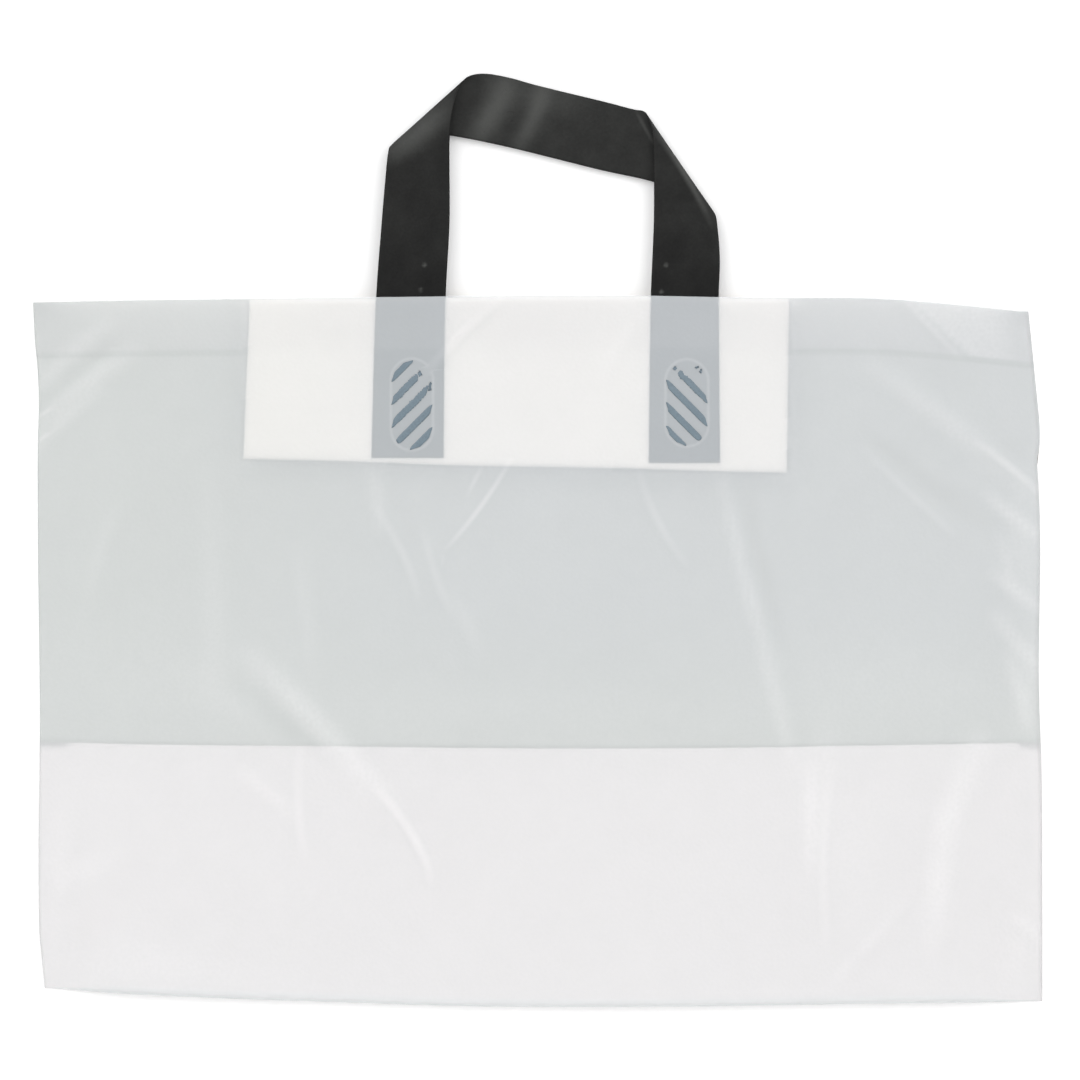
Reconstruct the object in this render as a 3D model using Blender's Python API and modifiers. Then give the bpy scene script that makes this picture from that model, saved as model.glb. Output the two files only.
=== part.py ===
"""A film carrier bag with soft loop handles, lying flat on its back panel.

X runs across the bag, Y from the bottom fold to the handles, Z up through the layers. The bag is
one folded web of film with a pleated bottom, closed by a weld down each side. Each panel carries a
black band handle: its ends lie between the panel and a strengthening patch, and its loop is folded
over two diagonals. Real film is about 0.07 mm thick. Here each layer is a stand-in 0.4 mm thick,
and the layers are held apart, so that every sheet is a solid of its own.
"""

import math

import bmesh
import bpy
from mathutils import Vector

# The bag, in metres
WIDTH = 0.508  # side weld to side weld
HEIGHT = 0.356  # mouth fold to bottom fold
HEM_DEPTH = 0.026
GUSSET_DEPTH = 0.129
MOUTH_Y = 0.1215
BOTTOM_Y = MOUTH_Y - HEIGHT
MIDDLE_Y = (MOUTH_Y + BOTTOM_Y) / 2
LEAN = 0.020  # how far the mouth lies to the left of the bottom, for each metre of height
TILT = 0.005  # how far the right side lies below the left, for each metre of width

# The film, and the height of each layer's middle, in the bag's middle and at the side welds. The
# pleat has settled on the back panel, and the front panel stands over the air left in the bag.
FILM = 0.0004
BACK_PANEL = (0.0002, 0.0002)
BACK_HEM = (0.0009, 0.0009)
BACK_LEAF = (0.0009, 0.0009)
FRONT_LEAF = (0.0016, 0.0016)
FRONT_HEM = (0.0093, 0.0016)
FRONT_PANEL = (0.0100, 0.0023)
CLOSING_WIDTH = 0.045  # over this width the layers draw together to the side welds
CLOSING_STEPS = 6
FOLD_STEPS = 6
WELD_WIDTH = 0.002
WELD_INSET = 0.0001  # the weld's faces stay inside the outer layers, so that it runs into them

# The strengthening patches
PATCH_LEFT = -0.1465
PATCH_RIGHT = 0.1270
PATCH_TOP = 0.1205
PATCH_FOOT_LEFT = 0.0395
PATCH_FOOT_RIGHT = 0.0335
PATCH_LEAN = 0.025
BACK_PATCH_Z = 0.0024
FRONT_PATCH_Z = 0.0078

# The band handles
BAND = 0.0005
BAND_HALF = 0.01725
STEPS_A_STAGE = 4
INSIDE, LEG, STRIP = -1.0, 0.0, 1.0  # the layers that a band lies in
BACK_BAND = {INSIDE: 0.00165, LEG: 0.00025, STRIP: 0.00215}
FRONT_BAND = {INSIDE: 0.00855, LEG: 0.00800, STRIP: 0.00310}

# The band's course: the middle of a line across it (x, y), that line's angle in degrees, half its
# length, and the layer there. A number between LEG and STRIP is on its way round a fold.
COURSE = (
    (-0.0657, 0.0412, 0, BAND_HALF, INSIDE),
    (-0.0643, 0.1160, 0, BAND_HALF, INSIDE),
    (-0.0625, 0.1620, 8, BAND_HALF, LEG),
    (-0.0610, 0.1960, 27, 0.0180, LEG),
    (-0.0592, 0.2096, 38, 0.0213, 0.15),
    (-0.0561, 0.2167, 42, 0.0250, 0.50),
    (-0.0485, 0.2207, 39, 0.0255, 0.90),
    (-0.0345, 0.2207, 36, 0.0240, STRIP),
    (-0.0091, 0.2154, 56, 0.0181, STRIP),
    (0.0315, 0.2055, 85, BAND_HALF, STRIP),
    (0.0536, 0.2002, 107, 0.0194, STRIP),
    (0.0676, 0.1953, 122, 0.0263, 0.90),
    (0.0726, 0.1900, 125, 0.0290, 0.50),
    (0.0748, 0.1806, 126, 0.0277, 0.15),
    (0.0756, 0.1529, 146, 0.0201, LEG),
    (0.0744, 0.1160, 180, BAND_HALF, INSIDE),
    (0.0745, 0.0389, 180, BAND_HALF, INSIDE),
)


def clear_scene():
    for thing in list(bpy.data.objects):
        bpy.data.objects.remove(thing, do_unlink=True)


def new_collection(name):
    collection = bpy.data.collections.new(name)
    bpy.context.scene.collection.children.link(collection)
    return collection


def new_material(name, colour, roughness, alpha=1.0):
    material = bpy.data.materials.new(name)
    material.use_nodes = True
    shader = material.node_tree.nodes["Principled BSDF"]
    shader.inputs["Base Color"].default_value = (*colour, 1.0)
    shader.inputs["Roughness"].default_value = roughness
    shader.inputs["Metallic"].default_value = 0.0
    shader.inputs["Alpha"].default_value = alpha
    return material


def new_object(name, bm, collection, material=None):
    bmesh.ops.recalc_face_normals(bm, faces=bm.faces)
    mesh = bpy.data.meshes.new(name)
    bm.to_mesh(mesh)
    bm.free()
    mesh.shade_smooth()
    mesh.set_sharp_from_angle(angle=math.radians(40))
    if material:
        mesh.materials.append(material)
    thing = bpy.data.objects.new(name, mesh)
    collection.objects.link(thing)
    return thing


def thicken(thing, thickness):
    """Gives a sheet its wall, half of it on each side."""
    wall = thing.modifiers.new("film", "SOLIDIFY")
    wall.thickness = thickness
    wall.offset = 0.0
    wall.use_even_offset = True


def laid_askew(point):
    """The bag lies a little out of square, as thin film does once it has been folded flat."""
    return Vector(
        (
            point.x - LEAN * (point.y - MIDDLE_Y),
            point.y - TILT * point.x,
            point.z,
        )
    )


def sheet_of(columns, rows, place):
    """A flat grid whose every crossing (column, row) is moved to place(column, row)."""
    bm = bmesh.new()
    bmesh.ops.create_grid(bm, x_segments=columns - 1, y_segments=rows - 1, size=1.0)
    for vertex in bm.verts:
        column = round((vertex.co.x + 1) / 2 * (columns - 1))
        row = round((vertex.co.y + 1) / 2 * (rows - 1))
        vertex.co = place(column, row)
    return bm


def half_turn(lower, upper, edge_y, outward):
    """The film's fold from one layer to another, as a half circle that reaches edge_y.

    Each point holds (y, z) in the bag's middle and (y, z) at its side welds, from lower to upper.
    """
    points = []
    for step in range(FOLD_STEPS + 1):
        angle = math.pi * step / FOLD_STEPS
        point = []
        for start, end in zip(lower, upper):
            radius = (end - start) / 2
            centre_y = edge_y - outward * (abs(radius) + FILM / 2)
            point.append(centre_y + outward * abs(radius) * math.sin(angle))
            point.append(start + radius * (1 - math.cos(angle)))
        points.append(tuple(point))
    return points


def web_path():
    """The one web of film seen from the side: hem, panel, pleated bottom, panel, hem."""
    hem_end = MOUTH_Y - HEM_DEPTH
    crease = BOTTOM_Y + GUSSET_DEPTH
    path = [(hem_end, FRONT_HEM[0], hem_end, FRONT_HEM[1])]
    path += half_turn(FRONT_HEM, FRONT_PANEL, MOUTH_Y, 1)
    path += half_turn(FRONT_PANEL, FRONT_LEAF, BOTTOM_Y, -1)
    path += half_turn(FRONT_LEAF, BACK_LEAF, crease, 1)
    path += half_turn(BACK_LEAF, BACK_PANEL, BOTTOM_Y, -1)
    path += half_turn(BACK_PANEL, BACK_HEM, MOUTH_Y, 1)
    path.append((hem_end, BACK_HEM[0], hem_end, BACK_HEM[1]))
    return path


def web_columns():
    """Places across the bag, each with how open the layers are there, from 0 at a weld to 1."""
    columns = []
    for step in range(CLOSING_STEPS + 1):
        share = step / CLOSING_STEPS
        opened = share * share * (3 - 2 * share)
        columns.append((WIDTH / 2 - CLOSING_WIDTH * share, opened))
    right = [(x, opened) for x, opened in columns]
    left = [(-x, opened) for x, opened in reversed(columns)]
    return left[::-1] + right[::-1]


def side_weld(side, cutters):
    """The bead where the side of every layer is melted into one."""
    low = BACK_PANEL[1] - FILM / 2 + WELD_INSET
    high = FRONT_PANEL[1] + FILM / 2 - WELD_INSET
    size = Vector((WELD_WIDTH, HEIGHT - FILM, high - low))
    bm = bmesh.new()
    bmesh.ops.create_cube(bm, size=1.0)
    bmesh.ops.scale(bm, vec=size, verts=bm.verts)
    centre = Vector((side * WIDTH / 2, MIDDLE_Y, (low + high) / 2))
    for vertex in bm.verts:
        vertex.co = laid_askew(vertex.co + centre)
    weld = new_object("weld_right" if side > 0 else "weld_left", bm, cutters)
    weld.hide_render = True
    weld.display_type = "WIRE"
    return weld


def bag_body(parts, cutters, material):
    path, columns = web_path(), web_columns()

    def place(column, row):
        x, opened = columns[column]
        middle_y, middle_z, weld_y, weld_z = path[row]
        y = weld_y + (middle_y - weld_y) * opened
        z = weld_z + (middle_z - weld_z) * opened
        return laid_askew(Vector((x, y, z)))

    body = new_object("bag_body", sheet_of(len(columns), len(path), place), parts, material)
    thicken(body, FILM)
    for side in (-1, 1):
        weld = side_weld(side, cutters)
        join = body.modifiers.new(weld.name, "BOOLEAN")
        join.operation = "UNION"
        join.solver = "EXACT"
        join.object = weld
    return body


def patch(name, height, parts, material):
    """A sheet cut a little out of square, hung from the mouth."""

    def place(column, row):
        foot = PATCH_FOOT_RIGHT if column else PATCH_FOOT_LEFT
        y = PATCH_TOP if row else foot
        x = PATCH_RIGHT if column else PATCH_LEFT
        lean = PATCH_LEAN * (PATCH_TOP - y)
        return Vector((x - lean * (1 if column == 0 else 0.5), y - TILT * x * row, height))

    sheet = new_object(name, sheet_of(2, 2, place), parts, material)
    thicken(sheet, FILM)
    return sheet


def curve_through(values, stage, share):
    """A smooth curve through the values, read at a share of the way past values[stage]."""
    before = values[max(stage - 1, 0)]
    start = values[stage]
    end = values[stage + 1]
    after = values[min(stage + 2, len(values) - 1)]
    return 0.5 * (
        2 * start
        + (end - before) * share
        + (2 * before - 5 * start + 4 * end - after) * share**2
        + (3 * start - before - 3 * end + after) * share**3
    )


def band_handle(name, heights, parts, material):
    """The band as straight lines across it, swept along its course and given its thickness."""
    edges = {-1: [], 1: []}
    for x, y, degrees, half, layer in COURSE:
        if layer == INSIDE:
            z = heights[INSIDE]
        else:
            z = heights[LEG] + (heights[STRIP] - heights[LEG]) * layer
        across = Vector((math.cos(math.radians(degrees)), math.sin(math.radians(degrees)), 0))
        for side in edges:
            edges[side].append(Vector((x, y, z)) + across * half * side)
    stages = len(COURSE) - 1

    def place(column, row):
        stage = min(column // STEPS_A_STAGE, stages - 1)
        share = column / STEPS_A_STAGE - stage
        edge = edges[1 if row else -1]
        point = curve_through(edge, stage, share)
        levels = sorted((edge[stage].z, edge[stage + 1].z))
        point.z = min(max(point.z, levels[0]), levels[1])
        return point

    band = new_object(name, sheet_of(stages * STEPS_A_STAGE + 1, 2, place), parts, material)
    thicken(band, BAND)
    return band


def stand_on_origin(things, root):
    """Moves the whole so that the middle of its footprint is at the origin."""
    bpy.context.view_layer.update()
    graph = bpy.context.evaluated_depsgraph_get()
    corners = []
    for thing in things:
        evaluated = thing.evaluated_get(graph)
        corners += [evaluated.matrix_world @ Vector(corner) for corner in evaluated.bound_box]
    for axis in (0, 1):
        places = [corner[axis] for corner in corners]
        root.location[axis] = -(min(places) + max(places)) / 2
    root.location[2] = -min(corner.z for corner in corners)


def main():
    clear_scene()
    parts = new_collection("carrier_bag")
    cutters = new_collection("cutters")
    film = new_material("frosted film", (0.70, 0.73, 0.75), 0.45, 0.65)
    patch_film = new_material("white film", (0.86, 0.86, 0.86), 0.50)
    band_film = new_material("black film", (0.022, 0.024, 0.023), 0.38)
    things = [
        bag_body(parts, cutters, film),
        band_handle("front_handle", FRONT_BAND, parts, band_film),
        band_handle("back_handle", BACK_BAND, parts, band_film),
        patch("front_patch", FRONT_PATCH_Z, parts, patch_film),
        patch("back_patch", BACK_PATCH_Z, parts, patch_film),
    ]
    root = bpy.data.objects.new("bag_root", None)
    parts.objects.link(root)
    for thing in things + list(cutters.objects):
        thing.parent = root
    stand_on_origin(things, root)


main()
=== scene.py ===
# %% [markdown]
# # A film carrier bag with soft loop handles
# The bag lies flat on its back, as it comes out of a pack: frosted film, a pleat folded in at the
# bottom, a turned-in hem, and two black loops whose ends are sealed behind the front and the back.
# Every sheet here is made the way the factory makes it: one flat web, laid along a folded path.
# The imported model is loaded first, and gives the sizes and heights that the sheets keep to.

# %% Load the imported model
import math

import bmesh
import bpy
import numpy as np
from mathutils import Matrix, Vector


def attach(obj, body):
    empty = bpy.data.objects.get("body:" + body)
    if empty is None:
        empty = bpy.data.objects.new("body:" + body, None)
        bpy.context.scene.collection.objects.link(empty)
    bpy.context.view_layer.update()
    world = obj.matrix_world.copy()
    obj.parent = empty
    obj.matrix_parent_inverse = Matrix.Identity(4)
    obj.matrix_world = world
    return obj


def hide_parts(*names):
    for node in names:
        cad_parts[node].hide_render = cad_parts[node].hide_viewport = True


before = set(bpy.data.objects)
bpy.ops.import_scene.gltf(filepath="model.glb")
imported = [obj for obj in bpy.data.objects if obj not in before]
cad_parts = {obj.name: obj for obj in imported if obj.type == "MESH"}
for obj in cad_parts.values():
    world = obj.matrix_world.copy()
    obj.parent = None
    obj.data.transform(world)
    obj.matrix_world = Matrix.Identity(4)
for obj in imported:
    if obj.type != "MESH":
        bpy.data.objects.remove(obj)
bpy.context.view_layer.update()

# %% [markdown]
# ## Camera
# A flat thing is best drawn from straight above. A long lens far away keeps its outline true: the
# front panel stands only a centimetre nearer to the camera than the floor, and hardly grows.

# %% Camera
VIEW_WIDTH = 0.5486  # what the picture holds at the height of the bag
VIEW_CENTRE = (0.0010, -0.0003)
VIEW_HEIGHT = 0.005
LENS = 150.0
SENSOR = 36.0

camera = bpy.data.objects.new("camera", bpy.data.cameras.new("camera"))
camera.data.lens = LENS
camera.data.sensor_width = SENSOR
camera.data.clip_end = 50.0
camera.location = (*VIEW_CENTRE, VIEW_HEIGHT + VIEW_WIDTH * LENS / SENSOR)
bpy.context.scene.collection.objects.link(camera)
bpy.context.scene.camera = camera
print("camera height in m:", round(camera.location.z, 2))

# %% [markdown]
# ## Maths with sockets
# A material is a chain of nodes. Written out node by node it is hard to read, so a small class
# holds a socket and lets plain Python sums build the Math nodes. Anything else goes through node().


# %% A socket that does sums
class Wire:
    """A node's output. Sums on it add Math nodes, and node() adds any other node."""

    def __init__(self, tree, socket=None):
        self.tree = tree
        self.socket = socket

    def node(self, kind, settings=None, sockets=None, output=0):
        made = self.tree.nodes.new(kind)
        for name, value in (settings or {}).items():
            setattr(made, name, value)
        for name, value in (sockets or {}).items():
            if isinstance(value, Wire):
                self.tree.links.new(value.socket, made.inputs[name])
            else:
                made.inputs[name].default_value = value
        return Wire(self.tree, made.outputs[output])

    def sum_of(self, operation, *values):
        return self.node("ShaderNodeMath", {"operation": operation}, dict(enumerate(values)))

    def __add__(self, other):
        return self.sum_of("ADD", self, other)

    def __radd__(self, other):
        return self.sum_of("ADD", other, self)

    def __sub__(self, other):
        return self.sum_of("SUBTRACT", self, other)

    def __rsub__(self, other):
        return self.sum_of("SUBTRACT", other, self)

    def __mul__(self, other):
        return self.sum_of("MULTIPLY", self, other)

    def __rmul__(self, other):
        return self.sum_of("MULTIPLY", other, self)

    def __abs__(self):
        return self.sum_of("ABSOLUTE", self)

    def ramp(self, low, high):
        """0 at low and below, 1 at high and above, with a soft start and end."""
        settings = {"interpolation_type": "SMOOTHSTEP"}
        return self.node("ShaderNodeMapRange", settings, {0: self, 1: low, 2: high, 3: 0.0, 4: 1.0})

    def tint(self, start, end):
        """The colour between start, where this is 0, and end, where it is 1."""
        return self.node("ShaderNodeMix", {"data_type": "RGBA"}, {0: self, 6: start, 7: end}, 2)


class Finish:
    """A material in the making: its tree, its shader, and what it reads from the surface."""

    def __init__(self, name):
        self.material = bpy.data.materials.new(name)
        self.material.use_nodes = True
        self.shader = self.material.node_tree.nodes["Principled BSDF"]
        self.wire = Wire(self.material.node_tree)
        self.place = self.wire.node("ShaderNodeTexCoord", output=3)

    def attribute(self, name):
        return self.wire.node("ShaderNodeAttribute", {"attribute_name": name}, output=2)

    def noise(self, size, detail):
        """Clouds of a size in metres, from 0 to 1. detail is how many finer clouds are added."""
        sockets = {"Vector": self.place, "Scale": 1.0 / size, "Detail": detail, "Roughness": 0.55}
        return self.wire.node("ShaderNodeTexNoise", None, sockets)

    def bump(self, height, depth):
        sockets = {"Height": height, "Distance": depth, "Strength": 1.0}
        self.feed("Normal", self.wire.node("ShaderNodeBump", None, sockets))

    def feed(self, socket, value):
        if isinstance(value, Wire):
            self.material.node_tree.links.new(value.socket, self.shader.inputs[socket])
        else:
            self.shader.inputs[socket].default_value = value


print("node helpers ready")

# %% [markdown]
# ## Floor
# Thin film shows best on a bright, even ground: a plain white table. It is lit a little from below
# as well, which keeps the shadows thin.

# %% Floor
FLOOR_SIZE = 14.0
TABLE_GLOW = 0.14

sheet = bmesh.new()
bmesh.ops.create_grid(sheet, x_segments=1, y_segments=1, size=FLOOR_SIZE / 2)
floor_mesh = bpy.data.meshes.new("floor")
sheet.to_mesh(floor_mesh)
sheet.free()
floor = bpy.data.objects.new("floor", floor_mesh)
bpy.context.scene.collection.objects.link(floor)

paper = Finish("pale floor")
paper.feed("Base Color", paper.noise(0.4, 2.0).tint((0.91, 0.91, 0.91, 1), (0.93, 0.93, 0.93, 1)))
paper.feed("Roughness", 0.9)
paper.feed("Specular IOR Level", 0.1)
paper.feed("Emission Color", (1.0, 1.0, 1.0, 1.0))
paper.feed("Emission Strength", TABLE_GLOW)
floor.data.materials.append(paper.material)
print("floor side in m:", FLOOR_SIZE)

# %% [markdown]
# ## Light
# Soft boxes could be area lamps, but each lamp asks for one more ray through every layer of film.
# So all the light comes from one white dome, and two soft glows in it, high on the left and on the
# right, draw the sheen along the folds and give the creases a side. A ray that meets film goes on
# through it: the stack of sheets in the hem needs a high limit on see-through hits, and only a few
# real bounces.

# %% Light
SKY = 0.83
GLOWS = (  # direction x, y, z, where it is full and where it ends in degrees, brightness
    (-0.60, 0.50, 0.62, 12, 40, 1.36),
    (0.62, 0.42, 0.66, 10, 36, 1.34),
)

world = bpy.data.worlds.new("studio")
world.use_nodes = True
world.cycles.sampling_method = "NONE"
background = world.node_tree.nodes["Background"]
background.inputs["Color"].default_value = (1.0, 1.0, 1.0, 1.0)
dome = Wire(world.node_tree)
direction = dome.node("ShaderNodeTexCoord", output=0)
light = SKY
for x, y, z, full, end, brightness in GLOWS:
    towards = Vector((x, y, z)).normalized()
    sockets = {0: direction, 1: towards}
    facing = dome.node("ShaderNodeVectorMath", {"operation": "DOT_PRODUCT"}, sockets, 1)
    glow = facing.ramp(math.cos(math.radians(end)), math.cos(math.radians(full)))
    light = light + brightness * glow
world.node_tree.links.new(light.socket, background.inputs["Strength"])
bpy.context.scene.world = world
bpy.context.scene.view_settings.view_transform = "Standard"

bounces = bpy.context.scene.cycles
bounces.transparent_max_bounces = 24
bounces.max_bounces = 3
bounces.diffuse_bounces = 2
bounces.glossy_bounces = 1
print("glows in the dome:", len(GLOWS))

# %% [markdown]
# ## Smooth lines through a few points
# A cut sheet of film is never quite straight. Each edge is a handful of points, and a cubic curve
# that passes through them gives the rest.


# %% Smooth lines through points
def line_through(points, places):
    """Reads the smooth line through the given (place, value) points."""
    knots, values = np.array(points, float).T
    slopes = np.gradient(values, knots)
    first = np.clip(np.searchsorted(knots, places) - 1, 0, len(knots) - 2)
    span = knots[first + 1] - knots[first]
    t = np.clip((places - knots[first]) / span, 0.0, 1.0)
    start = (2 * t**3 - 3 * t**2 + 1) * values[first] + (t**3 - 2 * t**2 + t) * span * slopes[first]
    end = (3 * t**2 - 2 * t**3) * values[first + 1] + (t**3 - t**2) * span * slopes[first + 1]
    return start + end


def soft_step(value, low, high):
    """0 below low, 1 above high, with a soft start and end."""
    t = np.clip((value - low) / (high - low), 0.0, 1.0)
    return t * t * (3 - 2 * t)


TOP_EDGE = (
    (-0.257, 0.1206), (-0.197, 0.1217), (-0.152, 0.1222), (-0.090, 0.1227), (0.016, 0.1237),
    (0.047, 0.1237), (0.108, 0.1227), (0.184, 0.1221), (0.214, 0.1196), (0.250, 0.1161),
)
BOTTOM_EDGE = (
    (-0.251, -0.2283), (-0.228, -0.2299), (-0.167, -0.2329), (-0.106, -0.2350),
    (-0.045, -0.2370), (0.001, -0.2375), (0.092, -0.2370), (0.153, -0.2360), (0.256, -0.2349),
)
LEFT_EDGE = (
    (-0.2283, -0.2510), (-0.2136, -0.2525), (-0.2035, -0.2535), (-0.183, -0.2540),
    (-0.092, -0.2535), (0.000, -0.2545), (0.051, -0.2545), (0.071, -0.2540), (0.091, -0.2550),
    (0.101, -0.2560), (0.121, -0.2570),
)
RIGHT_EDGE = (
    (-0.235, 0.2565), (-0.183, 0.2565), (-0.112, 0.2560), (-0.082, 0.2550), (0.020, 0.2550),
    (0.030, 0.2545), (0.040, 0.2540), (0.051, 0.2555), (0.061, 0.2550), (0.071, 0.2540),
    (0.091, 0.2520), (0.117, 0.2494),
)
PLEAT_EDGE = (
    (-0.243, -0.1031), (-0.212, -0.1039), (-0.121, -0.1049), (0.000, -0.1062),
    (0.092, -0.1059), (0.153, -0.1049), (0.245, -0.1034),
)
HEM_DEPTH = 0.0265


def across(share, y):
    """The x of a place that is a share of the way from the left weld to the right one."""
    left = line_through(LEFT_EDGE, y)
    return left + (line_through(RIGHT_EDGE, y) - left) * share


print("mouth edge in the middle, mm:", round(1000 * float(line_through(TOP_EDGE, 0.0)), 1))

# %% [markdown]
# ## Creases
# Film that was folded, packed and opened keeps pale lines where it was bent sharply, and stands up
# a little along them. The pale colour is partly that stretched, whitened film and partly a painted
# highlight, the light that the ridge would catch. One list holds them all. Each is a shallow arc:
# its two ends, its bow, its half width, how far the film stands up there, and how pale it is
# painted. A little below 0 is a dip, where the film is made clearer and so darker: painted shade in
# the dip. Noise could make creases too, but not these ones in these places. The same list lifts the
# mesh and paints the film, so that the shape and the colour agree. A wide crease is haze that the
# mesh's own points can carry. A fine one is drawn by the finish, which reads how far beside the
# crease a place is.

# %% Creases
CREASES = (  # x, y to x, y, bow, half width, lift, paleness
    (-0.152, -0.052, -0.068, -0.144, 0.001, 0.0062, 0.0009, 0.46),
    (-0.084, -0.124, -0.053, -0.176, 0.004, 0.0026, 0.0005, 0.52),
    (-0.162, -0.066, -0.104, -0.116, 0.000, 0.0060, -0.0008, -0.24),
    (-0.013, 0.042, -0.048, -0.006, 0.002, 0.0015, 0.0004, 0.44),
    (-0.036, 0.022, -0.028, 0.038, 0.000, 0.0014, 0.0003, 0.24),
    (-0.085, 0.040, -0.081, 0.000, 0.002, 0.0036, 0.0005, 0.22),
    (-0.085, 0.020, -0.059, -0.034, 0.003, 0.0024, 0.0004, 0.18),
    (-0.042, -0.042, -0.059, 0.010, 0.002, 0.0026, 0.0003, 0.14),
    (-0.049, -0.020, -0.028, -0.062, 0.001, 0.0036, 0.0003, 0.13),
    (-0.124, 0.004, -0.114, -0.076, 0.001, 0.0040, 0.0003, 0.10),
    (-0.211, 0.020, -0.228, -0.038, -0.004, 0.0040, 0.0003, 0.10),
    (-0.168, 0.040, -0.164, -0.086, 0.001, 0.0070, 0.0004, 0.13),
    (0.092, 0.040, 0.112, -0.050, -0.001, 0.0042, 0.0007, 0.28),
    (0.106, -0.016, 0.131, -0.122, -0.001, 0.0046, 0.0007, 0.28),
    (0.104, 0.030, 0.124, -0.064, 0.000, 0.0048, -0.0006, -0.18),
    (0.050, 0.040, 0.078, -0.016, -0.004, 0.0024, 0.0005, 0.18),
    (0.160, 0.050, 0.216, -0.002, 0.000, 0.0024, 0.0004, 0.13),
    (0.158, 0.056, 0.240, -0.004, 0.000, 0.0064, -0.0008, -0.18),
    (0.160, 0.094, 0.268, 0.012, 0.001, 0.0060, 0.0008, 0.30),
    (0.220, 0.051, 0.262, 0.018, 0.001, 0.0024, 0.0007, 0.42),
    (0.224, 0.026, 0.262, -0.003, -0.001, 0.0034, 0.0007, 0.42),
    (0.232, 0.006, 0.243, -0.028, 0.000, 0.0034, 0.0004, 0.20),
    (0.228, -0.013, 0.262, -0.038, -0.002, 0.0036, 0.0007, 0.42),
    (0.228, -0.034, 0.260, -0.072, 0.000, 0.0044, 0.0006, 0.34),
    (0.237, -0.052, 0.254, -0.106, 0.000, 0.0044, 0.0005, 0.30),
    (0.181, 0.126, 0.216, 0.090, 0.000, 0.0018, 0.0004, 0.18),
    (-0.262, 0.070, -0.212, 0.112, 0.003, 0.0050, 0.0007, 0.30),
    (-0.262, 0.052, -0.198, 0.098, 0.003, 0.0056, 0.0008, 0.36),
    (-0.260, 0.062, -0.210, 0.100, 0.002, 0.0038, -0.0006, -0.16),
    (-0.262, 0.040, -0.218, 0.078, 0.002, 0.0040, 0.0005, 0.24),
    (-0.256, 0.061, -0.246, 0.068, 0.000, 0.0013, 0.0003, 0.26),
    (-0.256, 0.049, -0.247, 0.055, 0.000, 0.0013, 0.0003, 0.24),
    (-0.060, 0.080, -0.014, 0.126, 0.002, 0.0026, 0.0005, 0.26),
    (0.030, 0.076, 0.056, 0.118, 0.002, 0.0040, 0.0004, 0.12),
    (-0.120, -0.100, -0.117, -0.166, -0.003, 0.0028, 0.0003, 0.15),
    (-0.156, -0.116, -0.120, -0.144, 0.002, 0.0040, 0.0003, 0.20),
    (0.149, -0.112, 0.148, -0.214, -0.004, 0.0028, 0.0003, 0.16),
    (0.137, -0.104, 0.139, -0.176, 0.000, 0.0040, 0.0003, 0.26),
    (0.228, -0.094, 0.201, -0.158, 0.000, 0.0076, 0.0008, 0.40),
    (0.210, -0.132, 0.199, -0.214, -0.001, 0.0068, 0.0007, 0.42),
    (0.190, -0.180, 0.146, -0.228, 0.000, 0.0036, 0.0004, 0.20),
    (0.236, -0.190, 0.262, -0.212, 0.004, 0.0036, 0.0004, 0.30),
)
WIDE = 0.0033  # a half width from which the mesh's own points can carry a crease
CREASE_REACH = 0.0040  # past its half width and this, a fine crease no longer shows
RIDGE = 0.0030  # the narrowest ridge that the mesh can carry
NOWHERE_NEAR = 9.0  # how far beside a crease a place is said to be, in half widths, at the most


def crease_field(x, y, creases, rims=()):
    """Where each point lies beside its nearest fine crease, in half widths, how pale that crease is,
    the haze of the wide ones, and how far the film stands up. rims are closed lines, as distances."""
    nearest = np.full(x.shape, np.inf)
    beside = np.full(x.shape, NOWHERE_NEAR)
    pale = np.zeros(x.shape)
    haze = np.zeros(x.shape)
    lift = np.zeros(x.shape)
    fine_lines = []
    for x0, y0, x1, y1, bow, width, rise, white in creases:
        length = math.hypot(x1 - x0, y1 - y0)
        ahead_x, ahead_y = (x1 - x0) / length, (y1 - y0) / length
        along = ((x - x0) * ahead_x + (y - y0) * ahead_y) / length
        arch = np.clip(4 * along * (1 - along), 0.0, 1.0)
        aside = (y - y0) * ahead_x - (x - x0) * ahead_y - bow * arch
        taper = soft_step(arch, 0.0, 0.8)
        lift += rise * taper * np.exp(-((aside / max(width, RIDGE)) ** 2))
        if width > WIDE:
            haze += white * arch * np.exp(-((aside / width) ** 2))
        else:
            past = length * np.maximum(0.0, np.maximum(-along, along - 1))
            fine_lines.append((aside, np.hypot(aside, past), width, white * arch))
    fine_lines += [(away, np.abs(away), width, white) for away, width, white in rims]
    for aside, away, width, white in fine_lines:
        near = away < nearest
        reach = width + CREASE_REACH
        nearest = np.where(near, away, nearest)
        beside = np.where(near, np.clip(aside / width, -NOWHERE_NEAR, NOWHERE_NEAR), beside)
        pale = np.where(near, white * (1 - soft_step(away, 0.75 * reach, reach)), pale)
    return beside, pale, haze, lift


print("creases:", len(CREASES))
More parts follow.
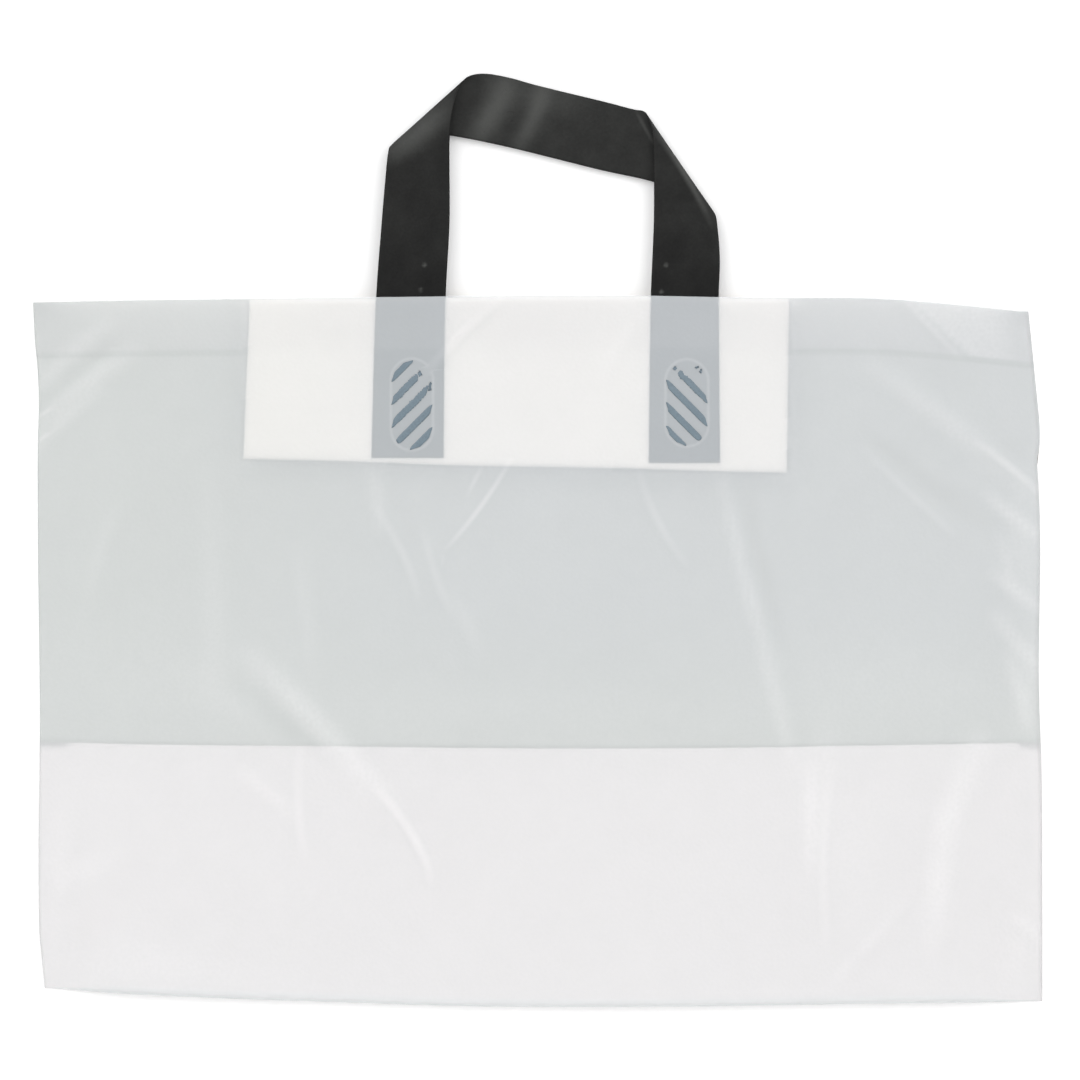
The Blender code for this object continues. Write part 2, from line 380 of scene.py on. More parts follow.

# %% [markdown]
# ## Pale ovals and billows
# Still wider marks are ovals that fade out, where the film is paler and more milky, or clearer
# where the strength is below 0. The air left between the panels lifts the front in slow waves.

# %% Pale ovals and billows
PALE_OVALS = (  # x, y, half length, half width, degrees, strength
    (-0.206, -0.216, 0.060, 0.014, -4, 0.26),
    (-0.226, -0.196, 0.026, 0.012, 60, -0.20),
    (-0.244, -0.160, 0.022, 0.008, 85, 0.24),
    (-0.230, -0.168, 0.016, 0.008, 30, 0.20),
    (0.143, -0.128, 0.034, 0.010, 85, 0.26),
    (0.160, -0.160, 0.036, 0.016, 80, 0.16),
    (0.248, -0.203, 0.020, 0.012, 60, 0.30),
    (0.248, -0.008, 0.030, 0.010, 88, 0.34),
    (0.250, -0.072, 0.030, 0.008, 84, 0.30),
    (0.222, 0.112, 0.022, 0.014, -14, 0.16),
    (-0.196, -0.066, 0.080, 0.030, 6, 0.15),
    (0.190, -0.076, 0.080, 0.026, -8, 0.14),
    (-0.010, -0.088, 0.160, 0.018, 0, 0.13),
    (-0.150, -0.080, 0.030, 0.014, -20, 0.14),
    (-0.100, -0.165, 0.070, 0.040, -40, 0.06),
)
BILLOWS = (  # waves for each metre along x and y, start in degrees, height
    (2.3, 1.1, 40, 0.0007),
    (-3.7, 4.1, 150, 0.0004),
    (6.5, 2.9, 260, 0.0003),
    (9.0, -6.5, 20, 0.00015),
)


def pale_oval_field(x, y):
    total = np.zeros(x.shape)
    for middle_x, middle_y, long, wide, degrees, strength in PALE_OVALS:
        turn = math.radians(degrees)
        along = (x - middle_x) * math.cos(turn) + (y - middle_y) * math.sin(turn)
        aside = (y - middle_y) * math.cos(turn) - (x - middle_x) * math.sin(turn)
        total += strength * np.exp(-((along / long) ** 2) - (aside / wide) ** 2)
    return total


def front_lift(x, y):
    """How far the front sheets stand above or below their own height, the same for all of them."""
    lift = crease_field(x, y, CREASES)[3]
    for wave_x, wave_y, degrees, height in BILLOWS:
        lift = lift + height * np.sin(2 * math.pi * (wave_x * x + wave_y * y) + math.radians(degrees))
    return lift


sample = front_lift(np.linspace(-0.2, 0.2, 40), np.linspace(-0.2, 0.1, 40))
print("front lifts by, mm:", round(1000 * sample.min(), 2), "to", round(1000 * sample.max(), 2))

# %% [markdown]
# ## Sheets from a grid
# A sheet of film starts as a flat grid. Every crossing of the grid is then put in its place, as a
# sheet is laid along a former, and a Solidify modifier gives it its thickness. The grid also
# carries numbers for the finish, such as how milky the film is at each point. A cloth simulation
# could drape it too, but the bag lies flat, and its few creases are easier to place one by one.

# %% Sheets from a grid
FILM = 0.00014


def laid_grid(x, y, z, numbers):
    """A grid whose crossings lie at x, y and z. numbers are attributes of the same shape."""
    rows, columns = x.shape
    bm = bmesh.new()
    bmesh.ops.create_grid(bm, x_segments=columns - 1, y_segments=rows - 1, size=1.0)
    layers = {key: bm.verts.layers.float.new(key) for key in numbers}
    for vertex in bm.verts:
        column = round((vertex.co.x + 1) / 2 * (columns - 1))
        row = round((vertex.co.y + 1) / 2 * (rows - 1))
        vertex.co = (x[row, column], y[row, column], z[row, column])
        for key, layer in layers.items():
            vertex[layer] = numbers[key][row, column]
    return bm


def walled_piece(name, bm, thickness, inner_slot=0):
    """The piece made of an open surface. Its inner face may wear another finish than its outer one."""
    mesh = bpy.data.meshes.new(name)
    bm.to_mesh(mesh)
    bm.free()
    mesh.shade_smooth()
    piece = bpy.data.objects.new(name, mesh)
    bpy.context.scene.collection.objects.link(piece)
    wall = piece.modifiers.new("wall", "SOLIDIFY")
    wall.thickness = thickness
    wall.offset = 0.0
    wall.material_offset = inner_slot
    return piece


def sheet_area(piece):
    return sum(face.area for face in piece.data.polygons)


print("film thickness in mm:", round(1000 * FILM, 2))

# %% [markdown]
# ## Places of the welds
# The loop's ends are held by two tall slots pressed with a hot bar tool. Each slot is filled with
# slanted bars where the film has melted clear. Behind them a patch is welded on all round. Their
# places are needed now, because the film turns pale in a thin line round each slot, and round the
# patch the front is painted a little paler, painted light that lifts the patch's shadow.

# %% Places of the welds
SEALS = (  # x, y, half width, half height, slant in degrees
    (-0.0639, 0.0683, 0.0099, 0.0225, 45),
    (0.0754, 0.0691, 0.0101, 0.0213, -45),
)
PATCH_LEFT = ((0.0390, -0.1497), (0.0800, -0.1480), (0.1207, -0.1463))
PATCH_RIGHT = ((0.0330, 0.1263), (0.0800, 0.1268), (0.1207, 0.1273))
PATCH_FOOT = (
    (-0.150, 0.0408), (-0.095, 0.0396), (-0.030, 0.0373), (0.006, 0.0368), (0.042, 0.0361),
    (0.103, 0.0343), (0.127, 0.0338),
)


def slot_distance(x, y, seal):
    """How far a point is outside a slot with round ends. Inside it the distance is negative."""
    middle_x, middle_y, half, tall, _ = seal
    over = np.maximum(np.abs(y - middle_y) - (tall - half), 0.0)
    return np.hypot(x - middle_x, over) - half


def patch_distance(x, y):
    """How far a point is outside the patch, beside it or below it. It has no end at the top."""
    below = line_through(PATCH_FOOT, x) - y
    beside = np.maximum(line_through(PATCH_LEFT, y) - x, x - line_through(PATCH_RIGHT, y))
    outside = np.hypot(np.maximum(below, 0.0), np.maximum(beside, 0.0))
    return np.where(outside > 0, outside, np.maximum(below, beside))


sample = float(patch_distance(-0.2, 0.1))
print("from the hem's left end to the patch, mm:", round(1000 * sample))

# %% [markdown]
# ## The bag's layers
# The whole body is one web: front hem, front panel, bottom fold, the two leaves of the pleat, the
# back fold, back panel and back hem. It could be made as six sheets, but their folds would then
# never quite meet. Seen from the side the web is a path of six runs, so one list of runs is enough.
# Towards the side welds the layers draw together until they lie on each other.

# %% The bag's layers
BACK_PANEL = (0.0002, 0.0002)  # each layer's height, in the middle and at the side welds
BACK_HEM = (0.0009, 0.0004)
BACK_LEAF = (0.0009, 0.0004)
FRONT_LEAF = (0.0016, 0.0006)
FRONT_HEM = (0.0093, 0.0008)
FRONT_PANEL = (0.0100, 0.0010)
PANEL_MILK, HEM_MILK, LEAF_MILK, BACK_MILK = 0.48, 0.08, 0.97, 0.75  # how milky each layer is
LAYERS = (  # height, from edge, to edge, milk, share of the front's lift, rows
    (BACK_HEM, "hem", "top", HEM_MILK, 0.0, 5),
    (BACK_PANEL, "top", "bottom", BACK_MILK, 0.0, 32),
    (BACK_LEAF, "bottom", "pleat", LEAF_MILK, 0.1, 14),
    (FRONT_LEAF, "pleat", "bottom", LEAF_MILK, 0.3, 26),
    (FRONT_PANEL, "bottom", "top", PANEL_MILK, 1.0, None),
    (FRONT_HEM, "top", "hem", HEM_MILK, 1.0, 10),
)
FRONT = 4  # the front panel's place in the path
print("runs of the web:", len(LAYERS))

# %% [markdown]
# ## Columns across the web
# Every row has the same columns. They stand closer together at the oval seals and at the side
# welds, where the film has the most to show.

# %% Columns across the web
WEB_HALF = 0.254
CLOSING_WIDTH = 0.045  # from a side weld to where the bag is fully open
SEAL_ZONE = 0.013
WELD_ZONE = 0.006
COARSE = 0.0031
FINE = 0.0016


def steps_along(start, end, zones):
    """Places from start to end, closer together inside the zones."""
    places = [start]
    while places[-1] < end - COARSE / 2:
        inside = any(low < places[-1] < high for low, high in zones)
        places.append(places[-1] + (FINE if inside else COARSE))
    places[-1] = end
    return np.array(places)


fine_columns = [(seal[0] - SEAL_ZONE, seal[0] + SEAL_ZONE) for seal in SEALS]
fine_columns += [(weld - WELD_ZONE, weld + WELD_ZONE) for weld in (-WEB_HALF, WEB_HALF)]
nominal_x = steps_along(-WEB_HALF, WEB_HALF, fine_columns)
share_x = (nominal_x + WEB_HALF) / (2 * WEB_HALF)
opened = soft_step(WEB_HALF - np.abs(nominal_x), 0.0, CLOSING_WIDTH)
edges = {
    "top": line_through(TOP_EDGE, nominal_x),
    "bottom": line_through(BOTTOM_EDGE, nominal_x),
    "pleat": line_through(PLEAT_EDGE, nominal_x),
}
edges["hem"] = edges["top"] - HEM_DEPTH
print("columns:", len(share_x))

# %% [markdown]
# ## Rows along the web
# The rows follow the path, from the back hem round to the front one. Where two layers meet, the
# path makes a half turn that just reaches the edge, so each run stops short of its edge by the
# turn's radius. On the front panel the rows stand closer over the pleat, the seals and the hem.

# %% Rows along the web
FOLD_STEPS = 6

mouth_to_bottom = edges["top"].mean() - edges["bottom"].mean()
fine_rows = (  # where the front panel's rows stand closer, above the bottom edge: pleat, seals, hem
    (0.124, 0.136),
    (mouth_to_bottom - 0.080, mouth_to_bottom - 0.030),
    (mouth_to_bottom - HEM_DEPTH - 0.006, mouth_to_bottom - HEM_DEPTH + 0.004),
)


def height(level):
    return level[1] + (level[0] - level[1]) * opened


def turn_radius(index):
    """The radius of the half turn that follows a run. There is none before the first or past the last."""
    if index < 0 or index == len(LAYERS) - 1:
        return 0.0
    return np.abs(height(LAYERS[index][0]) - height(LAYERS[index + 1][0])) / 2


rows = []  # y and z at every column, milk, share of the lift, place in the path, at the bottom fold
for index, (level, start, end, milky, follows, count) in enumerate(LAYERS):
    toward = np.sign(edges[end].mean() - edges[start].mean())
    first_y = edges[start] + toward * turn_radius(index - 1)
    last_y = edges[end] - toward * (turn_radius(index) + FILM / 2)
    if count:
        shares = np.linspace(0, 1, count)
    else:
        shares = steps_along(0.0, mouth_to_bottom, fine_rows) / mouth_to_bottom
    for share in shares:
        rows.append((first_y + (last_y - first_y) * share, height(level), milky, follows, index, 0))
    if index == len(LAYERS) - 1:
        break
    next_level, _, _, next_milky, next_follows, _ = LAYERS[index + 1]
    for share in np.arange(1, FOLD_STEPS) / FOLD_STEPS:
        y = last_y + toward * turn_radius(index) * math.sin(math.pi * share)
        z = height(level) + (height(next_level) - height(level)) * (1 - math.cos(math.pi * share)) / 2
        nearer = milky if share < 0.5 else next_milky
        rows.append((y, z, nearer, follows + (next_follows - follows) * share, index, end == "bottom"))

web_y = np.array([row[0] for row in rows])
web_z = np.array([row[1] for row in rows])
milk, follow, run, at_fold = (
    np.repeat(np.array([row[part] for row in rows], float)[:, None], len(share_x), axis=1)
    for part in (2, 3, 4, 5)
)
web_x = across(share_x[None, :], web_y)
web_z = web_z + front_lift(web_x, web_y) * follow * opened
print("rows:", len(rows))

# %% [markdown]
# ## What the finish reads from the web
# A finish can paint only what it can read, so the web carries it at every crossing. Besides the
# creases there are painted shade lines, a thin one under the hem's cut edge and one over the pleat,
# painted light round the patch, which lifts the patch's shadow inside the bag, and the hem's right
# corner, which is creased over and paler.

# %% What the finish reads from the web
# Painted shade: a darker line just under the hem's cut edge, and one just over the pleat.
HEM_SHADOW = (0.0010, 0.0014, 0.23)  # how far past the edge its middle is, half width, strength
PLEAT_SHADE = (0.0008, 0.0012, 0.12)
PATCH_LIGHT_RIM = (0.0, 0.0045, 0.17)
SLOT_RIM = (0.0008, 0.0009, 0.26)
HEM_SHADOW_STARTS = 0.004  # how far from the patch the hem's painted shadow is full
CORNER_POINT = (0.184, 0.1221)  # a point on the corner's crease, and the direction of its pale side
CORNER_SIDE = (0.658, 0.752)
CORNER_SOFT = 0.003
CORNER_PALE = 0.30
CORNER_ENDS = (-0.002, 0.0005)  # below the hem's lower edge
CORNER_FADES = (0.232, 0.246, 0.6)  # from x, to x, and by how much
MARKS_LIMITS = (-0.6, 1.0)
COOL_ACROSS = (-0.22, 0.0)  # the front turns a little cooler between these places
COOL_ALONG = (-0.12, -0.02)


def soft_line(away, line):
    """How strong a soft line is at a distance from its edge."""
    middle, half, strength = line
    return strength * np.exp(-(((away - middle) / half) ** 2))


slot_rims = [
    (slot_distance(web_x, web_y, seal) - SLOT_RIM[0], SLOT_RIM[1], SLOT_RIM[2]) for seal in SEALS
]
beside, pale, haze, _ = crease_field(web_x, web_y, CREASES, slot_rims)
is_front = (run == FRONT).astype(float)
is_leaf = (milk == LEAF_MILK) * (1 - 0.5 * at_fold)
is_hem = (milk == HEM_MILK).astype(float)
# The back panel's rows: there the film is painted much darker, as painted shade inside the bag.
back_shade_mask = (milk == BACK_MILK).astype(float)
below_hem = edges["hem"][None, :] - web_y
above_pleat = web_y - edges["pleat"][None, :]
off_patch = patch_distance(web_x, web_y)
# Painted shade under the hem's edge, left off over the patch, and over the pleat.
painted_edge_shade = soft_line(below_hem, HEM_SHADOW) * is_front * soft_step(off_patch, 0.0, HEM_SHADOW_STARTS)
painted_edge_shade += soft_line(above_pleat, PLEAT_SHADE) * is_front
corner_side = (web_x - CORNER_POINT[0]) * CORNER_SIDE[0] + (web_y - CORNER_POINT[1]) * CORNER_SIDE[1]
corner = soft_step(corner_side, 0.0, CORNER_SOFT) * (1 - soft_step(below_hem, *CORNER_ENDS))
corner *= CORNER_PALE * (1 - CORNER_FADES[2] * soft_step(web_x, CORNER_FADES[0], CORNER_FADES[1]))
# Painted light: the front is made paler just round the patch, lifting the shadow that the patch casts
# inside the bag.
painted_light_round_patch = soft_line(off_patch, PATCH_LIGHT_RIM) * (off_patch > 0)
pale_marks_and_painted_light = np.clip(pale_oval_field(web_x, web_y) + haze + painted_light_round_patch + corner, *MARKS_LIMITS)
cool = soft_step(web_x, *COOL_ACROSS) * soft_step(web_y, *COOL_ALONG)
print("share of the web that is front panel:", round(float(is_front.mean()), 2))

# %% [markdown]
# ## The bag's film
# All that is left is to lay the grid in its place. Its inner face gets a finish of its own.

# %% The bag's film
web_numbers = {
    "milk": milk,
    "beside": beside,
    "pale": pale * is_front,
    "marks": pale_marks_and_painted_light * is_front,
    "painted_edge_shade": painted_edge_shade,
    "leaf": is_leaf + is_hem,
    "back": back_shade_mask,
    "cool": cool * is_front,
}
bag = walled_piece("bag_film", laid_grid(web_x, web_y, web_z, web_numbers), FILM, inner_slot=1)
print("web rows and columns:", web_x.shape, "area m2:", round(sheet_area(bag), 4))

# %% [markdown]
# ## Strengthening patches
# Behind the loop's ends a wider piece of whiter film is welded on, so that the handles don't tear
# out. A plain rectangle would do, but the real one is cut and placed a little out of square, so it
# fills the outline above, right up to the mouth.

# %% Strengthening patches
PATCH_GAP = 0.0007  # from the patch's top to the mouth
PATCH_HEIGHTS = {"white_patch_front": (0.0078, 1.0), "white_patch_back": (0.0024, 0.0)}
PATCH_COLUMNS, PATCH_ROWS = 112, 36


def patch(name):
    level, follows = PATCH_HEIGHTS[name]
    share = np.linspace(0, 1, PATCH_COLUMNS)[None, :]
    rise = np.linspace(0, 1, PATCH_ROWS)[:, None]
    rough_x = PATCH_LEFT[0][1] + (PATCH_RIGHT[0][1] - PATCH_LEFT[0][1]) * share
    foot = line_through(PATCH_FOOT, rough_x)
    y = foot + (line_through(TOP_EDGE, rough_x) - PATCH_GAP - foot) * rise
    left = line_through(PATCH_LEFT, y)
    x = left + (line_through(PATCH_RIGHT, y) - left) * share
    z = level + follows * front_lift(x, y)
    haze = crease_field(x, y, CREASES)[2]
    return walled_piece(name, laid_grid(x, y, z, {"marks": 0.5 * haze}), FILM)


patches = [patch(name) for name in PATCH_HEIGHTS]
print("patch area m2:", round(sheet_area(patches[0]), 4))

# %% [markdown]
# ## Loop handles
# A handle is one straight band of black film. Its two ends point down inside the bag, and the
# loop's top is folded over two loose diagonals. A straight band that is bent keeps straight lines
# across it, so the course is a list of such lines, each with its middle, its angle, its half
# length and its layer. The sheet is then drawn smoothly through them.

# %% Loop handles
INSIDE, LEG, STRIP = -1.0, 0.0, 1.0
BAND = 0.00030
BAND_WIDTH = 0.0345
HALF = BAND_WIDTH / 2
HANDLES = {  # height of each layer, and how much of the front's lift the ends take
    "front_loop": ({INSIDE: 0.00855, LEG: 0.00800, STRIP: 0.00310}, 1.0),
    "back_loop": ({INSIDE: 0.00165, LEG: 0.00040, STRIP: 0.00215}, 0.0),
}
COURSE = (  # middle x and y, degrees, half length, layer
    (-0.0662, 0.0414, 0, 0.0182, INSIDE),
    (-0.0648, 0.1160, 0, 0.0176, INSIDE),
    (-0.0623, 0.1600, 7, 0.0174, LEG),
    (-0.0610, 0.1960, 27, 0.0180, LEG),
    (-0.0592, 0.2096, 38, 0.0213, 0.15),
    (-0.0561, 0.2167, 42, 0.0250, 0.50),
    (-0.0485, 0.2207, 39, 0.0255, 0.90),
    (-0.0345, 0.2207, 36, 0.0240, STRIP),
    (-0.0091, 0.2154, 56, 0.0181, STRIP),
    (0.0315, 0.2055, 85, HALF, STRIP),
    (0.0536, 0.2002, 107, 0.0194, STRIP),
    (0.0676, 0.1953, 122, 0.0263, 0.90),
    (0.0726, 0.1900, 125, 0.0290, 0.50),
    (0.0748, 0.1806, 126, 0.0277, 0.15),
    (0.0756, 0.1529, 146, 0.0201, LEG),
    (0.0744, 0.1160, 180, HALF, INSIDE),
    (0.0742, 0.0389, 180, 0.0180, INSIDE),
)
STEPS_A_STAGE = 24
STEPS_ACROSS = 28
# Sheens: a little real lift along the folds, and a painted highlight in the colour.
SHEENS = (  # x, y to x, y, bow, half width, lift, paleness, layer
    (-0.0790, 0.1900, -0.0400, 0.2230, 0.000, 0.0060, 0.0005, 0.75, LEG),
    (-0.0130, 0.2380, -0.0360, 0.1980, 0.002, 0.0062, 0.0006, 0.70, STRIP),
    (0.0060, 0.2380, -0.0140, 0.1930, 0.002, 0.0048, 0.0005, 0.62, STRIP),
    (-0.0300, 0.2340, 0.0300, 0.2200, 0.000, 0.0100, 0.0000, 0.30, STRIP),
    (0.0490, 0.2190, 0.0600, 0.1990, 0.000, 0.0016, 0.0003, 0.40, STRIP),
    (0.0585, 0.2080, 0.0890, 0.1570, 0.002, 0.0026, 0.0004, 0.60, LEG),
)
# Painted glints: pale spots painted where small dents in the legs catch the light.
GLINT_SPOTS = ((-0.0576, 0.1392), (-0.0595, 0.1265), (0.0649, 0.1392), (0.0626, 0.1256))
GLINT_SPOT = 0.0021  # half the width of a glint painted at a dent, with its soft rim
LEAVES_FILM = (0.118, 0.150)  # between these heights the ends stop following the panel's lift


def smooth_between(before, start, end, after, share):
    """The Catmull-Rom curve from start to end."""
    return 0.5 * (
        2 * start
        + (end - before) * share
        + (2 * before - 5 * start + 4 * end - after) * share**2
        + (3 * start - before - 3 * end + after) * share**3
    )


def cross_lines(levels):
    """The straight lines across a band: the two ends of each, and its layer."""
    lines = []
    for x, y, degrees, half, layer in COURSE:
        z = levels[INSIDE] if layer == INSIDE else levels[LEG] + (levels[STRIP] - levels[LEG]) * layer
        along = np.array([math.cos(math.radians(degrees)), math.sin(math.radians(degrees)), 0.0]) * half
        lines.append((np.array([x, y, z]) - along, np.array([x, y, z]) + along, layer))
    return lines


def band_surface(lines):
    """x, y, z and layer all over a band that runs smoothly through its lines."""
    points, layers = [], []
    last = len(lines) - 1
    for stage in range(last):
        before, start, end, after = (lines[min(max(stage + k, 0), last)] for k in (-1, 0, 1, 2))
        for step in range(STEPS_A_STAGE + (stage == last - 1)):
            share = step / STEPS_A_STAGE
            low = smooth_between(before[0], start[0], end[0], after[0], share)
            high = smooth_between(before[1], start[1], end[1], after[1], share)
            z_low, z_high = sorted((start[0][2], end[0][2]))
            low[2] = min(max(low[2], z_low), z_high)
            high[2] = low[2]
            points.append((low, high))
            layers.append(start[2] + (end[2] - start[2]) * share)
    low = np.array([pair[0] for pair in points]).T
    high = np.array([pair[1] for pair in points]).T
    share = np.linspace(0, 1, STEPS_ACROSS + 1)[:, None]
    x, y, z = (low[axis] + (high[axis] - low[axis]) * share for axis in range(3))
    return x, y, z, np.repeat(np.array(layers)[None, :], STEPS_ACROSS + 1, axis=0)


def loop(name):
    levels, follows = HANDLES[name]
    x, y, z, layer = band_surface(cross_lines(levels))
    numbers = {
        "beside": np.full(x.shape, NOWHERE_NEAR),
        "pale": np.zeros(x.shape),
        "marks": np.zeros(x.shape),
        "strip": (layer + 1) / 2,
    }
    # The legs also get the painted glints at the dents.
    glint_spots = [(np.hypot(x - spot_x, y - spot_y), GLINT_SPOT, 1.0) for spot_x, spot_y in GLINT_SPOTS]
    for wanted, here, rims in ((LEG, layer < 0.45, glint_spots), (STRIP, layer > 0.55, ())):
        sheens = [sheen for *sheen, where in SHEENS if where == wanted]
        beside, pale, haze, rise = crease_field(x, y, sheens, rims)
        for key, values in (("beside", beside), ("pale", pale), ("marks", haze)):
            numbers[key] = np.where(here, values, numbers[key])
        z = z + np.where(here, rise, 0.0)
    z = z + follows * front_lift(x, y) * (1 - soft_step(y, *LEAVES_FILM))
    return walled_piece(name, laid_grid(x, y, z, numbers), BAND)


loops = [loop(name) for name in HANDLES]
band_length = sheet_area(loops[0]) / BAND_WIDTH
print("band length by area, m:", round(band_length, 3))

# %% [markdown]
# ## Bars of the oval seals
# Inside a slot the hot tool presses slanted bars. The upper ones took badly: their ends are
# chewed, with loose crumbs of melted film. They could be painted on the film, but melted film has
# an edge that can be felt. So each bar is a thin strip that lies on the front panel, cut off where
# the slot's outline crosses it.

# %% Bars of the oval seals
BAR_PITCH = 0.0082
BAR_HALF = 0.00165
BAR_THICK = 0.00016
BAR_CLEARANCE = 0.00002  # between the film and a bar
SLOT_MARGIN = 0.0004  # how far the outer bars stay inside the slot
CHEWED = 0.0005  # how far the edges of a fully ragged bar stray
BAR_STEPS, BAR_ACROSS = 40, 6
SEARCH_REACH, SEARCH_POINTS = 1.6, 2001  # a bar's ends are looked for this far, in slot heights
SAME_PLACE = 0.00001
BARS = (  # for each slot: number from the middle, start and end along the slot, raggedness, breadth
    (
        (2, 0.00, 0.96, 0.15, 0.9), (1, 0.00, 0.74, 0.55, 1.0), (1, 0.76, 0.84, 0.6, 0.6),
        (0, 0.00, 0.90, 0.45, 1.0), (0, 0.93, 0.99, 0.6, 0.7), (-1, 0.00, 1.00, 0.1, 1.0),
        (-2, 0.00, 1.00, 0.1, 1.0),
    ),
    (
        (2, 0.34, 0.44, 0.6, 0.4), (2, 0.58, 0.70, 0.6, 0.4), (1, 0.02, 0.09, 0.6, 0.5),
        (1, 0.16, 1.00, 0.45, 0.9), (0, 0.00, 1.00, 0.1, 1.0), (-1, 0.00, 1.00, 0.1, 1.0),
        (-2, 0.00, 1.00, 0.1, 0.9),
    ),
)


def panel_height(x, y):
    """The height of the front panel's upper face."""
    return FRONT_PANEL[0] + front_lift(x, y) + FILM / 2


def bar_places(seal, bar, rough):
    """x and y all over one bar, which runs from one side of the slot's outline to the other."""
    middle_x, middle_y, half, tall, degrees = seal
    number, start, end, ragged, breadth = bar
    ahead = np.array([math.cos(math.radians(degrees)), math.sin(math.radians(degrees))])
    up = np.array([-ahead[1], ahead[0]])
    reach = np.linspace(-SEARCH_REACH * tall, SEARCH_REACH * tall, SEARCH_POINTS)
    outermost = (tall - half) * abs(up[1]) + half - SLOT_MARGIN
    share = np.linspace(0, 1, BAR_STEPS + 1)
    wobble = rough.normal(0, 1, (2, BAR_STEPS + 1)) * ragged * CHEWED
    wobble = wobble * (0.25 + share if degrees > 0 else 1.25 - share)
    round_end = np.sqrt(np.clip(1 - np.abs(2 * share - 1) ** 8, 0.0, 1.0))
    x = np.zeros((BAR_ACROSS + 1, BAR_STEPS + 1))
    y = np.zeros_like(x)
    for line in range(BAR_ACROSS + 1):
        side = 2 * line / BAR_ACROSS - 1
        half_bar = side * BAR_HALF * breadth
        offset = np.clip(number * BAR_PITCH + half_bar, -outermost, outermost)
        inside_x = middle_x + up[0] * offset + ahead[0] * reach
        inside_y = middle_y + up[1] * offset + ahead[1] * reach
        found = reach[slot_distance(inside_x, inside_y, seal) < 0]
        along = found[0] + (found[-1] - found[0]) * (start + (end - start) * share)
        edge_wobble = wobble[0] * max(side, 0) + wobble[1] * max(-side, 0)
        out = number * BAR_PITCH + half_bar * (0.55 + 0.45 * round_end) + edge_wobble
        out = np.clip(out, -outermost, outermost)
        x[line] = middle_x + up[0] * out + ahead[0] * along
        y[line] = middle_y + up[1] * out + ahead[1] * along
    return x, y


def seal_bars(name, seal, bars, seed):
    rough = np.random.default_rng(seed)
    whole = bmesh.new()
    for bar in bars:
        x, y = bar_places(seal, bar, rough)
        one = laid_grid(x, y, panel_height(x, y) + BAR_THICK / 2 + BAR_CLEARANCE, {})
        strip = bpy.data.meshes.new("bar")
        one.to_mesh(strip)
        one.free()
        whole.from_mesh(strip)
        bpy.data.meshes.remove(strip)
    bmesh.ops.dissolve_degenerate(whole, dist=SAME_PLACE, edges=whole.edges)
    return walled_piece(name, whole, BAR_THICK)


seals = [
    seal_bars("seal_bars_left", SEALS[0], BARS[0], 4),
    seal_bars("seal_bars_right", SEALS[1], BARS[1], 9),
]
print("bars:", [len(bars) for bars in BARS])

# %% [markdown]
# ## Finish of the frosted film
# Frosted film scatters part of the light and lets the rest through, so it is a pale, satin
# surface with an Alpha below 1. The web carries how milky each layer is. Along a crease the film
# is stretched white and a highlight is painted, so there both the colour and the Alpha go up. The
# back panel is painted much darker, as painted shade. A darker line under the hem is painted
# shadow, and one over the pleat is painted shade. Round the patch the front is painted paler, as
# painted light. Soft clouds, fine grain and pale ovals keep it from looking like glass. The sheet
# is so thin that its two faces are one to the eye: the outer face wears the finish, and the inner
# one is clear, so a layer counts once.

# %% Finish of the frosted film
film = Finish("frosted film")
# Crease lines: the colour is partly stretched, whitened film and partly a painted highlight.
crease = (1 - abs(film.attribute("beside")).ramp(0.0, 1.5)) * film.attribute("pale")
cloud = film.noise(0.020, 1.0)
grain = film.noise(0.0018, 0.0)
# white holds whitened film, painted highlights, pale ovals and the painted light round the patch.
white = crease + film.attribute("marks") * (0.85 + 0.3 * grain)
colour = film.attribute("cool").tint((0.834, 0.880, 0.890, 1), (0.828, 0.872, 0.908, 1))
# Painted shade: the back panel is the same film, painted much darker than the front.
colour = film.attribute("back").tint(colour, (0.448, 0.432, 0.391, 1))
colour = film.attribute("leaf").tint(colour, (0.858, 0.776, 0.778, 1))
colour = (0.6 * white).tint(colour, (0.985, 0.985, 0.985, 1))
# Painted shade: darker lines under the hem's edge and over the pleat.
colour = film.attribute("painted_edge_shade").tint(colour, (0.500, 0.540, 0.560, 1))
film.feed("Base Color", colour)
film.feed("Roughness", 0.42)
film.feed("Specular IOR Level", 0.35)
film.feed("Alpha", film.attribute("milk") * (0.97 + 0.04 * cloud + 0.02 * grain) + 0.16 * white)
film.bump(0.25 * grain + 0.9 * crease, 0.0003)
clear_side = Finish("clear side of the film")
clear_side.feed("Alpha", 0.0)
bag.data.materials.append(film.material)
bag.data.materials.append(clear_side.material)
print("film nodes:", len(film.material.node_tree.nodes))

# %% [markdown]
# ## Finish of the white patches
# The patch film is the same stuff with more white in it. It could be see-through as well, but
# nothing shows through the real one, so it is solid white with soft clouds, grain and the haze of
# the creases that cross it, which is partly a painted highlight.

# %% Finish of the white patches
white_film = Finish("white film")
cloud = white_film.noise(0.03, 2.0)
grain = white_film.noise(0.0018, 1.0)
tone = (cloud * 0.6 + grain * 0.3 + 0.3 * white_film.attribute("marks")).ramp(0.2, 0.8)
white_film.feed("Base Color", tone.tint((0.892, 0.824, 0.762, 1), (0.926, 0.858, 0.796, 1)))
white_film.feed("Roughness", 0.45)
white_film.feed("Specular IOR Level", 0.3)
white_film.bump(0.3 * grain + white_film.attribute("marks"), 0.0003)
for piece in patches:
    piece.data.materials.append(white_film.material)
print("patch nodes:", len(white_film.material.node_tree.nodes))
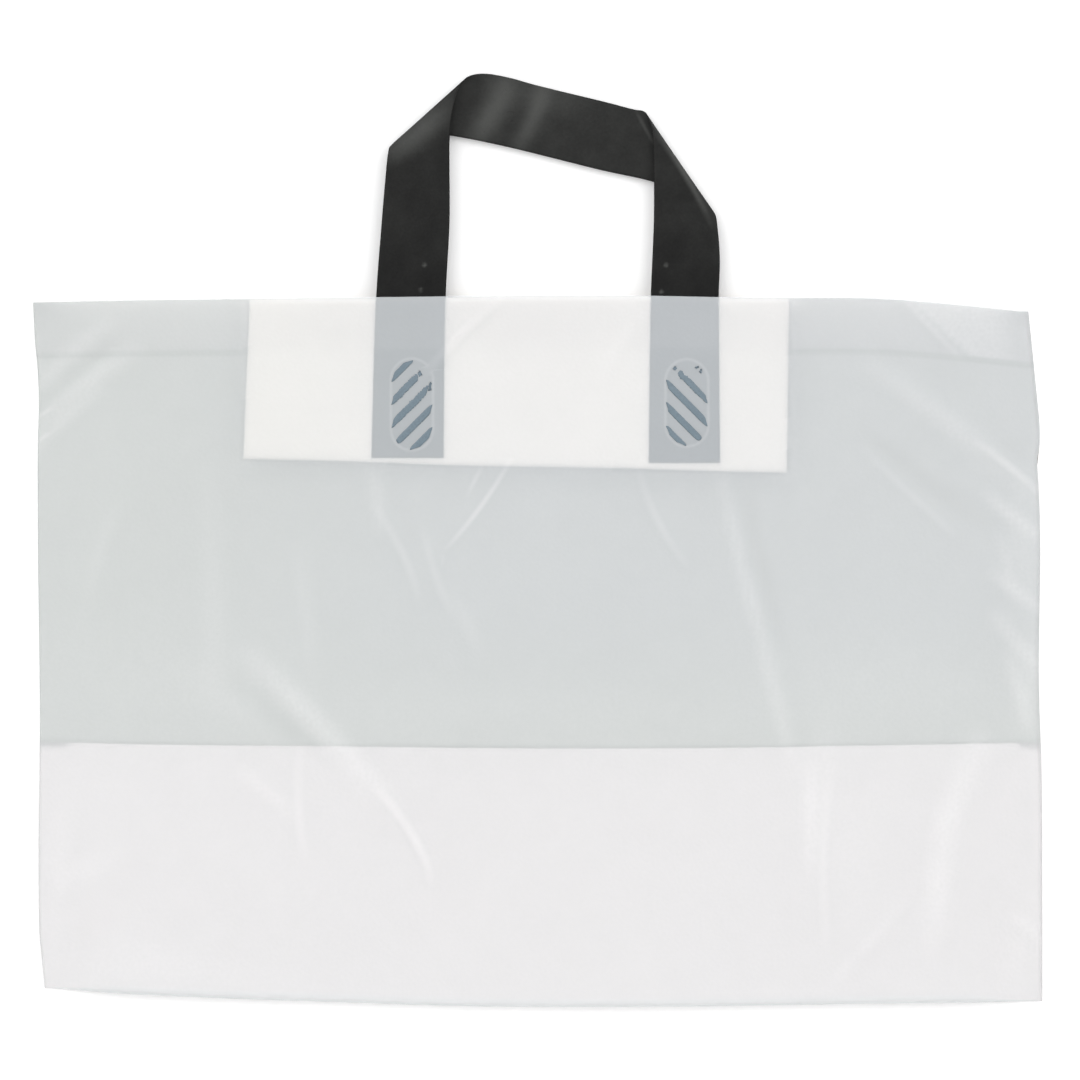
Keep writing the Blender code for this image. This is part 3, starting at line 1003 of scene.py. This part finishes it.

# %% [markdown]
# ## Finish of the black loops
# The band is thicker black film with a silky shine. Along its folds a sheen is painted: the
# colour is a shade lighter there, and the film smoother. At a few dents a glint is painted as a pale
# spot, and specks that are smoother catch the light.

# %% Finish of the black loops
black = Finish("black film")
fine_line = (1 - abs(black.attribute("beside")).ramp(0.0, 1.0)) * black.attribute("pale")
sheen = fine_line + black.attribute("marks")
cloud = black.noise(0.012, 2.0)
grain = black.noise(0.0014, 2.0)
specks = black.noise(0.0022, 0.0).ramp(0.80, 0.86)
# Painted sheen along the folds and painted glints at the dents make the colour lighter.
tone = cloud * 0.25 + grain * 0.15 + 0.25 * black.attribute("strip") + 0.8 * sheen
black.feed("Base Color", tone.ramp(0.0, 1.5).tint((0.003, 0.003, 0.003, 1), (0.082, 0.084, 0.080, 1)))
black.feed("Roughness", 0.46 - 0.14 * sheen - 0.10 * specks)
black.feed("Specular IOR Level", 0.14)
black.bump(0.25 * grain + 0.5 * cloud - 0.6 * specks, 0.0003)
for piece in loops:
    piece.data.materials.append(black.material)
print("loop nodes:", len(black.material.node_tree.nodes))

# %% [markdown]
# ## Finish of the melted bars
# Melted film has lost its frosting, so the black band shows through it. Clear film over the band
# would cost two more see-through layers, so the bars have the dark blue-grey that the eye sees.

# %% Finish of the melted bars
melted = Finish("melted film")
grain = melted.noise(0.0009, 2.0)
melted.feed("Base Color", grain.tint((0.115, 0.160, 0.195, 1), (0.190, 0.245, 0.285, 1)))
melted.feed("Roughness", 0.30)
melted.feed("Specular IOR Level", 0.5)
melted.bump(grain, 0.0002)
for piece in seals:
    piece.data.materials.append(melted.material)
print("bar nodes:", len(melted.material.node_tree.nodes))

# %% [markdown]
# ## Hand over
# Each piece rides on the one body of the part and stands for its imported solid, which is hidden.

for piece, node, slot in (
    (bag, "bag_body", "frosted_film"),
    (patches[0], "front_patch", "white_film"),
    (patches[1], "back_patch", "white_film"),
    (loops[0], "front_handle", "black_film"),
    (loops[1], "back_handle", "black_film"),
):
    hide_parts(node)
    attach(piece, "root")
for piece in seals:
    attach(piece, "root")
